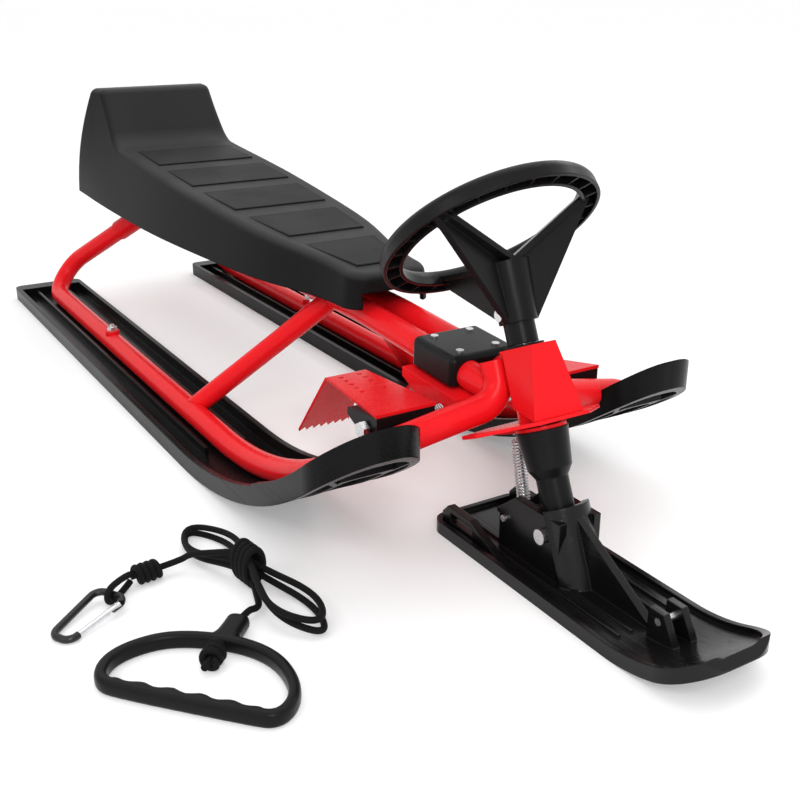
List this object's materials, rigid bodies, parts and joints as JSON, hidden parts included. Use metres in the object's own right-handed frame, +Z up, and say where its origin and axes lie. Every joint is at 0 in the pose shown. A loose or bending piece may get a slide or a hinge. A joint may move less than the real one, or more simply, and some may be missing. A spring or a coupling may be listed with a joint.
{
  "type": "steering sled",
  "caption": "Steering sled with a red tube frame, black trough skis, a wheel-steered front ski, ramped seat, toothed brake pedals and a tow rope with a handle",
  "frame": {"origin": "On the snow under the middle of the sled's length and width", "axes": "+X forward, +Y to the rider's left, +Z up"},
  "size_m": [1.285, 0.5794, 0.3328],
  "materials": {
    "red_paint": "gloss powder coat on steel tube and sheet",
    "ski_plastic": "black polyethylene, satin",
    "seat_plastic": "black moulding with a fine grain",
    "moulded_plastic": "black moulding, semi-matt",
    "bush_plastic": "natural nylon",
    "zinc_steel": "bright zinc plating",
    "spring_steel": "bright spring wire",
    "black_rope": "braided cord",
    "black_hook": "black anodised",
    "gate_aluminium": "bare, satin"
  },
  "bodies": {
    "frame": {"left_side_tube": "red_paint", "right_side_tube": "red_paint", "left_spine_tube": "red_paint", "right_spine_tube": "red_paint", "left_strut": "red_paint", "right_strut": "red_paint", "rear_hoop": "red_paint", "head_tube": "red_paint", "head_bracket": "red_paint", "head_plate": "red_paint", "brake_bracket": "red_paint", "ski_saddles": "red_paint", "left_rear_ski": "ski_plastic", "right_rear_ski": "ski_plastic", "seat": "seat_plastic", "spine_cover": "moulded_plastic", "tow_handle": "moulded_plastic", "upper_bush": "bush_plastic", "lower_bush": "bush_plastic", "ski_bolts": "zinc_steel", "ski_nuts": "zinc_steel", "seat_bolts": "zinc_steel", "cover_screws": "zinc_steel", "brake_axle": "zinc_steel", "axle_nuts": "zinc_steel", "gate_pin": "zinc_steel", "left_return_spring": "spring_steel", "right_return_spring": "spring_steel", "handle_knot": "black_rope", "rope_lead": "black_rope", "rope_hank": "black_rope", "hank_wrap": "black_rope", "rope_tail": "black_rope", "eye_knot": "black_rope", "rope_eye": "black_rope", "snap_hook": "black_hook"},
    "steering": {"steering_wheel": "moulded_plastic", "wheel_bolt": "zinc_steel", "upper_column": "moulded_plastic", "steering_shaft": "zinc_steel", "lower_column": "moulded_plastic", "spring_hanger": "red_paint"},
    "front_ski_body": {"front_ski": "ski_plastic", "pivot_bolt": "zinc_steel", "pivot_nut": "zinc_steel", "spring_bar": "zinc_steel", "tow_pin": "zinc_steel", "ski_spring": "spring_steel"},
    "left_brake": {"left_brake_pedal": "red_paint", "left_pedal_boss": "moulded_plastic"},
    "right_brake": {"right_brake_pedal": "red_paint", "right_pedal_boss": "moulded_plastic"},
    "gate": {"hook_gate": "gate_aluminium"}
  },
  "joints": [
    {"name": "steer", "type": "hinge", "parent": "frame", "child": "steering", "pos_m": [0.4515, 0, 0.042], "axis": [-0.4067, 0, 0.9135], "range_deg": [-30, 30]},
    {"name": "ski_pitch", "type": "hinge", "parent": "steering", "child": "front_ski_body", "pos_m": [0.4515, 0, 0.042], "axis": [0, 1, 0], "range_deg": [-8, 8], "stiffness_Nm_per_rad": 6, "deforming": ["ski_spring"]},
    {"name": "left_brake_pivot", "type": "hinge", "parent": "frame", "child": "left_brake", "pos_m": [0.33562, 0.09, 0.11431], "axis": [0, -1, 0], "range_deg": [0, 14], "stiffness_Nm_per_rad": 2, "springref_deg": -17.19},
    {"name": "right_brake_pivot", "type": "hinge", "parent": "frame", "child": "right_brake", "pos_m": [0.33562, -0.09, 0.11431], "axis": [0, -1, 0], "range_deg": [0, 14], "stiffness_Nm_per_rad": 2, "springref_deg": -17.19},
    {"name": "gate_hinge", "type": "hinge", "parent": "frame", "child": "gate", "pos_m": [0.32035, -0.33352, 0.00772], "axis": [0, 0, -1], "range_deg": [0, 20], "stiffness_Nm_per_rad": 0.02, "springref_deg": -5.73}
  ]
}
